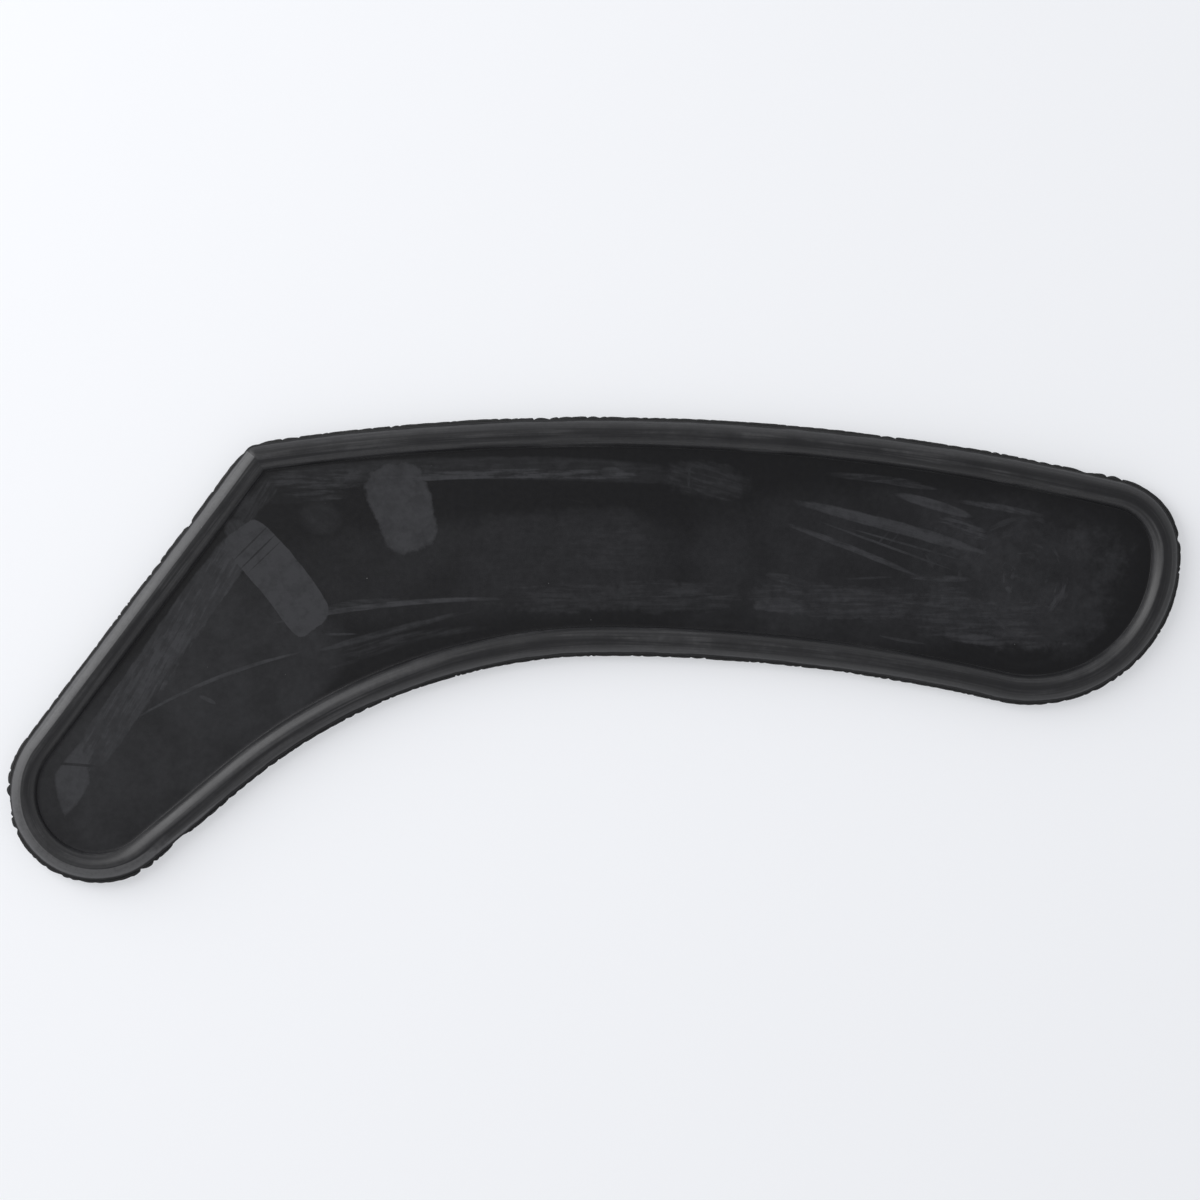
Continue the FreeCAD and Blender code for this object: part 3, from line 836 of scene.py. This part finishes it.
def swirl_mask(n, spot):
    """Rings that a fingertip rubbed into the bloom at the wide end, round a rubbed disc."""
    parts = n.parts(n.vector_maths("SUBTRACT", spot, SWIRL_CENTRE))
    radius = n.maths("SQRT", n.maths("ADD", n.times(parts["X"], parts["X"]),
                                     n.times(parts["Y"], parts["Y"])))
    angle = n.maths("ARCTAN2", parts["Y"], parts["X"])
    rings = n.add("ShaderNodeCombineXYZ", {"X": n.maths("DIVIDE", radius, SWIRL_RING),
                                           "Y": n.times(n.maths("COSINE", angle), SWIRL_WOBBLE),
                                           "Z": n.times(n.maths("SINE", angle), SWIRL_WOBBLE)})
    lines = n.ramp(n.noise(rings.outputs[0], 0.9, detail=4.0, roughness=0.6), 0.44, 0.66)
    disc = n.ramp(radius, *SWIRL_DISC)
    fade = n.ramp(radius, SWIRL_REACH, SWIRL_CORE)
    soft = n.ramp(n.noise(spot, 1 / (7 * MM), detail=3.0), 0.35, 0.65, 0.35, 1.0)
    ringed = n.times(lines, fade, RING_STRENGTH)
    return n.times(n.maths("MAXIMUM", ringed, n.times(disc, DISC_STRENGTH)), soft)


def web_rubber(colours, group):
    """Dull panel: clean and dark along the bead, filmed over inside, smeared on its upper face."""
    material, n, shader = new_material("web_rubber")
    spot = object_vector(n)
    upper = n.ramp(n.parts(spot)["Z"], MID_HEIGHT - 0.1 * MM, MID_HEIGHT + 0.1 * MM)

    mottle = n.noise(spot, 1 / (1.5 * MM), detail=5.0, roughness=0.65)
    clouds = n.ramp(n.noise(spot, 1 / (15 * MM), detail=5.0, roughness=0.62), 0.30, 0.70, 0.40, 1.0)
    film = n.times(smears(n, spot, group, WEB_FILMS), clouds, FILM_STRENGTH)
    marks = smears(n, spot, group, WEB_SMEARS)
    wiped = smears(n, spot, group, WEB_WIPES)
    marks = n.times(marks, n.inverse(wiped))
    uneven = n.ramp(n.noise(spot, 1 / (4.5 * MM), detail=3.0, roughness=0.55), 0.32, 0.62, 0.80, 1.14)
    marks = n.times(marks, uneven)
    marks = n.times(n.maths("MAXIMUM", marks, swirl_mask(n, spot)), upper)
    drawn_out = n.stretched(spot, (18 * MM, 1.1 * MM, 1), turn=math.radians(-14))
    hair = n.ramp(n.noise(drawn_out, 1.0, detail=5.0, roughness=0.7), 0.62, 0.74, 0.0, HAIR_STRENGTH)
    bloom_and_highlight_mask = n.maths("MAXIMUM", marks, n.maths("ADD", film, hair))
    patchy = n.ramp(mottle, 0.30, 0.70, 0.80, 1.12, kind="LINEAR")
    bloom_and_highlight_mask = n.times(bloom_and_highlight_mask, patchy, clamp=True)
    dust_mask = specks(n, spot, spacing=5.0 * MM, size=0.16 * MM, share=0.30)

    clean = shaded(n, colours.web, 0.14, mottle)
    grain = n.noise(spot, 1 / (0.22 * MM), detail=2.0)
    ripple = n.noise(spot, 1 / (3.2 * MM), detail=3.0)
    roughness = n.ramp(mottle, 0.3, 0.7, 0.32, 0.38, kind="LINEAR")
    bump = bumps(n, ((ripple, 0.02 * MM), (grain, 0.003 * MM)))
    shader.inputs["Specular IOR Level"].default_value = WEB_GLOSS
    coat(n, shader, clean, colours.bloom, bloom_and_highlight_mask, colours.dust, dust_mask, roughness, bump)
    return material


# Pale places on the bead, partly rubbed scuffs and partly painted highlights on the flanks that face the
# light, each with its ends as the distance along the rim from the elbow and the distance outwards from the
# bead's centre line.
BEAD_SCUFFS_AND_HIGHLIGHTS = (
    ((-8.0, 2.1), (150.0, 2.3), 3.5, 8.0, 0.0, 0.50, 0.50, 0.25, 1.15),
    ((112.0, 3.1), (168.0, 3.3), 1.8, 4.0, 0.0, 0.60, 0.50, 0.30, 0.90),
    ((100.0, -0.4), (152.0, -0.8), 2.6, 3.0, 0.0, 0.80, 0.50, 0.50, 0.30),
    ((134.0, -1.1), (236.0, -0.9), 2.8, 4.0, 0.0, 0.80, 0.40, 0.35, 0.45),
    ((612.0, -2.2), (661.0, -1.9), 1.5, 4.0, 0.0, 0.50, 0.60, 0.50, 0.32),
    ((500.0, -1.6), (600.0, -1.4), 1.2, 4.0, 0.0, 0.70, 0.60, 0.70, 0.20),
    ((470.0, 1.9), (660.0, 2.1), 1.8, 6.0, 0.0, 0.70, 0.60, 0.60, 0.20),
    ((190.0, 2.4), (372.0, 2.5), 1.8, 6.0, 0.0, 0.70, 0.60, 0.50, 0.24),
)
# Distances outwards from the same line: all of the rough, darkened strip at the first, none of it at the
# second. Its darker colour is painted shade on the steep flank beside the flash.
ROUGH_SHADE_STRIP = (3.30 * MM, 2.80 * MM)


def bead_rubber(colours, group):
    """Satin bead, rubbed in long streaks, with pale marks that are partly scuffs and partly painted
    highlights, dull patches, a few specks and a rough strip of painted shade by the flash.
    """
    material, n, shader = new_material("bead_rubber")
    spot = object_vector(n)
    rim = rim_vector(n)
    streaks = n.noise(n.stretched(rim, (34 * MM, 0.75 * MM, 1.6 * MM)), 1.0, detail=5.0, roughness=0.62)
    patches = n.noise(rim, 1 / (11 * MM), detail=4.0, roughness=0.6)
    mottle = n.noise(spot, 1 / (1.1 * MM), detail=4.0, roughness=0.6)
    rubbed = n.times(n.ramp(streaks, 0.42, 0.66), n.ramp(patches, 0.35, 0.65, 0.30, 1.0))
    # Pale marks that are partly scuffs and partly painted highlights on the flanks that face the light.
    marks = smears(n, rim, group, BEAD_SCUFFS_AND_HIGHLIGHTS, line_size=(26.0, 0.45))
    bloom_and_highlight_mask = n.maths("MAXIMUM", n.times(rubbed, RUBBED_STRENGTH), marks)
    patchy = n.ramp(mottle, 0.30, 0.70, 0.70, 1.15, kind="LINEAR")
    bloom_and_highlight_mask = n.times(bloom_and_highlight_mask, patchy, clamp=True)
    # Painted shade: a darker, rougher strip on the bead's flank beside the flash, where the flank lies in
    # shade.
    outward = n.parts(rim)["Y"]
    wavy = n.maths("ADD", outward, n.times(n.maths("SUBTRACT", patches, 0.5), 0.7 * MM))
    clear_of_shade_strip = n.ramp(wavy, *ROUGH_SHADE_STRIP)
    bloom_and_highlight_mask = n.times(bloom_and_highlight_mask, clear_of_shade_strip)
    dust_mask = specks(n, spot, spacing=4.0 * MM, size=0.13 * MM, share=0.22)

    clean = n.mix_colours(clear_of_shade_strip, colour4(colours.matt_shade), shaded(n, colours.bead, 0.20, mottle))
    grain = n.noise(spot, 1 / (0.20 * MM), detail=2.0)
    ripple = n.noise(n.stretched(rim, (4.5 * MM, 1.5 * MM, 1.5 * MM)), 1.0, detail=3.0)
    roughness = n.ramp(patches, 0.3, 0.7, 0.30, 0.42, kind="LINEAR")
    roughness = n.maths("ADD", roughness, n.inverse(clear_of_shade_strip), clamp=True)
    bump = bumps(n, ((streaks, 0.02 * MM), (ripple, 0.02 * MM), (grain, 0.004 * MM)))
    shader.inputs["Specular IOR Level"].default_value = BEAD_GLOSS
    coat(n, shader, clean, colours.scuff_and_highlight, bloom_and_highlight_mask, colours.dust, dust_mask, roughness, bump)
    return material


def flash_rubber(colours):
    """Raw torn rubber: rough, nearly black, with paler crumbs at its edge."""
    material, n, shader = new_material("flash_rubber")
    spot = object_vector(n)
    crumbs = n.ramp(n.noise(spot, 1 / (0.5 * MM), detail=3.0), 0.58, 0.74)
    torn = n.noise(spot, 1 / (0.25 * MM), detail=4.0, roughness=0.7)
    bloom_and_highlight_mask = n.times(crumbs, CRUMB_STRENGTH)
    dust_mask = specks(n, spot, spacing=5.0 * MM, size=0.12 * MM, share=0.2)
    clean = shaded(n, colours.flash, 0.25, torn)
    roughness = n.ramp(torn, 0.3, 0.7, 0.55, 0.75, kind="LINEAR")
    bump = bumps(n, ((torn, 0.05 * MM),))
    coat(n, shader, clean, colours.bloom, bloom_and_highlight_mask, colours.dust, dust_mask, roughness, bump)
    return material


# ---------------------------------------------------------------- the stage

# Places and sizes are in metres, as the part's are. The sensor is in millimetres, as a lens is.
FLOOR_HALF = 3.0
FLOOR_GAP = 0.05 * MM
KEY_PLACE = (-0.62, 0.34, 0.62)
KEY_AIM = (0.18, -0.05, 0.25)
KEY_SIZE = (0.60, 1.20)
# Heights, from 0 at the horizon to 1 overhead, where the sky has its low and its high brightness.
SKY_RISE = (0.2, 1.0)
SKY_TINT = (0.975, 0.98, 1.0, 1.0)
SENSOR = 36.0


def floor_board(colours, glow):
    """Pale matt board with a faint unevenness, lit softly from below so that shadows stay light."""
    material, n, shader = new_material("floor_board")
    shader.inputs["Emission Color"].default_value = colour4(colours)
    shader.inputs["Emission Strength"].default_value = glow / max(colours)
    spot = object_vector(n)
    faint = n.noise(spot, 1 / (60 * MM), detail=3.0)
    n.feed(shader.inputs["Base Color"], shaded(n, colours, 0.008, faint))
    n.feed(shader.inputs["Roughness"], n.ramp(faint, 0.3, 0.7, 0.88, 0.94))
    n.feed(shader.inputs["Normal"], bumps(n, ((n.noise(spot, 1 / (0.4 * MM)), 0.004 * MM),)))
    return material


def lay_floor(stage):
    """Puts the board under the part, a little lower so that the two don't share a face."""
    bm = bmesh.new()
    bmesh.ops.create_grid(bm, x_segments=1, y_segments=1, size=FLOOR_HALF)
    bmesh.ops.translate(bm, verts=bm.verts, vec=UP * (CAD_LOW.z - FLOOR_GAP))
    mesh = bpy.data.meshes.new("floor")
    bm.to_mesh(mesh)
    bm.free()
    mesh.materials.append(floor_board(stage.floor, stage.floor_glow))
    floor = bpy.data.objects.new("floor", mesh)
    bpy.context.scene.collection.objects.link(floor)


def hang_lights(scene, stage):
    """Sets the low key light on the left and the soft surroundings, darker overhead."""
    lamp = bpy.data.lights.new("key", "AREA")
    lamp.shape = "RECTANGLE"
    lamp.size, lamp.size_y = KEY_SIZE
    lamp.energy = stage.key_power
    key = bpy.data.objects.new("key", lamp)
    key.location = KEY_PLACE
    key.rotation_euler = (Vector(KEY_AIM) - key.location).to_track_quat("-Z", "Y").to_euler()
    key.visible_camera = False
    scene.collection.objects.link(key)

    world = bpy.data.worlds.new("surroundings")
    world.use_nodes = True
    scene.world = world
    n = Nodes(world.node_tree)
    way = n.add("ShaderNodeTexCoord").outputs["Generated"]
    glow = n.ramp(n.parts(way)["Z"], *SKY_RISE, stage.sky_low, stage.sky_high, kind="LINEAR")
    background = n.found("BACKGROUND")
    background.inputs["Color"].default_value = SKY_TINT
    n.feed(background.inputs["Strength"], glow)


def set_camera(scene, stage):
    """Looks straight down, from far enough to take in the view width at the middle of the part."""
    lens = bpy.data.cameras.new("overhead")
    lens.lens = stage.lens
    lens.sensor_width = SENSOR
    distance = stage.view_width * stage.lens / SENSOR
    camera = bpy.data.objects.new("overhead", lens)
    camera.location = (stage.view_across, stage.view_up, MID_HEIGHT + distance)
    scene.collection.objects.link(camera)
    scene.camera = camera


# ---------------------------------------------------------------- operators

class BOOMERANG_OT_rim_bead(bpy.types.Operator):
    """Sweep the round bead of rubber round the whole outline"""
    bl_idname = "boomerang.rim_bead"
    bl_label = "Rim Bead"

    def execute(self, context):
        settings = context.scene.boomerang
        bead = settings.bead
        bm = bmesh.new()
        draw_bead_section(bm, bead)
        sweep_section(bm, Rim(settings.outline, bead.radius), bead.pitch)
        swell(bm, bead.swell, bead.swell_length)
        keep_between_lands(bm)
        finish_piece(bm, "rim_bead_moulded", "rim_bead",
                     bead_rubber(settings.colours, smear_nodes()))
        return {"FINISHED"}


class BOOMERANG_OT_web_panel(bpy.types.Operator):
    """Mould the thin panel inside the bead, with its hollow blends up to the bead"""
    bl_idname = "boomerang.web_panel"
    bl_label = "Web Panel"

    def execute(self, context):
        settings = context.scene.boomerang
        bm = bmesh.new()
        draw_web_section(bm, settings.bead.radius, settings.web)
        sweep_section(bm, Rim(settings.outline, settings.bead.radius), settings.bead.pitch)
        fill_web(bm, settings.web.grid)
        dip(bm, settings.web.dip, settings.web.dip_length)
        finish_piece(bm, "web_panel_moulded", "web_panel",
                     web_rubber(settings.colours, smear_nodes()))
        return {"FINISHED"}


class BOOMERANG_OT_parting_flash(bpy.types.Operator):
    """Tear the thin fin of flash along the bead's widest line"""
    bl_idname = "boomerang.parting_flash"
    bl_label = "Parting Flash"

    def execute(self, context):
        settings = context.scene.boomerang
        radius = settings.bead.radius
        bm = bmesh.new()
        draw_flash_section(bm, radius, settings.flash)
        sweep_section(bm, Rim(settings.outline, radius), settings.flash.pitch)
        tear_flash(bm, radius, settings.flash)
        finish_piece(bm, "parting_flash_torn", "parting_flash",
                     flash_rubber(settings.colours))
        return {"FINISHED"}


class BOOMERANG_OT_stage(bpy.types.Operator):
    """Lay the pale floor, light it softly and set the camera overhead"""
    bl_idname = "boomerang.stage"
    bl_label = "Stage"

    def execute(self, context):
        stage = context.scene.boomerang.stage
        lay_floor(stage)
        hang_lights(context.scene, stage)
        set_camera(context.scene, stage)
        context.scene.view_settings.view_transform = "Standard"
        return {"FINISHED"}


PIECES = (BOOMERANG_OT_rim_bead, BOOMERANG_OT_web_panel, BOOMERANG_OT_parting_flash, BOOMERANG_OT_stage)


class VIEW3D_PT_boomerang(bpy.types.Panel):
    """Lists the pieces and their sizes"""
    bl_idname = "VIEW3D_PT_boomerang"
    bl_label = "Boomerang"
    bl_space_type = "VIEW_3D"
    bl_region_type = "UI"
    bl_category = "Boomerang"

    def draw(self, context):
        layout = self.layout
        for operator in PIECES:
            layout.operator(operator.bl_idname)
        settings = context.scene.boomerang
        for group_name in settings.bl_rna.properties.keys():
            group = getattr(settings, group_name)
            if not isinstance(group, bpy.types.PropertyGroup):
                continue
            box = layout.box()
            box.label(text=group_name.title())
            for value_name in group.bl_rna.properties.keys():
                if value_name not in ("rna_type", "name"):
                    box.prop(group, value_name)


CLASSES = (OutlineSizes, BeadSizes, WebSizes, FlashSizes, RubberColours, StageSizes, BoomerangSettings,
           *PIECES, VIEW3D_PT_boomerang)


def register():
    for kind in CLASSES:
        bpy.utils.register_class(kind)
    bpy.types.Scene.boomerang = PointerProperty(type=BoomerangSettings)


def unregister():
    del bpy.types.Scene.boomerang
    for kind in reversed(CLASSES):
        bpy.utils.unregister_class(kind)


def main():
    register()
    bpy.ops.boomerang.rim_bead()
    bpy.ops.boomerang.web_panel()
    bpy.ops.boomerang.parting_flash()
    bpy.ops.boomerang.stage()


if __name__ == "__main__":
    main()
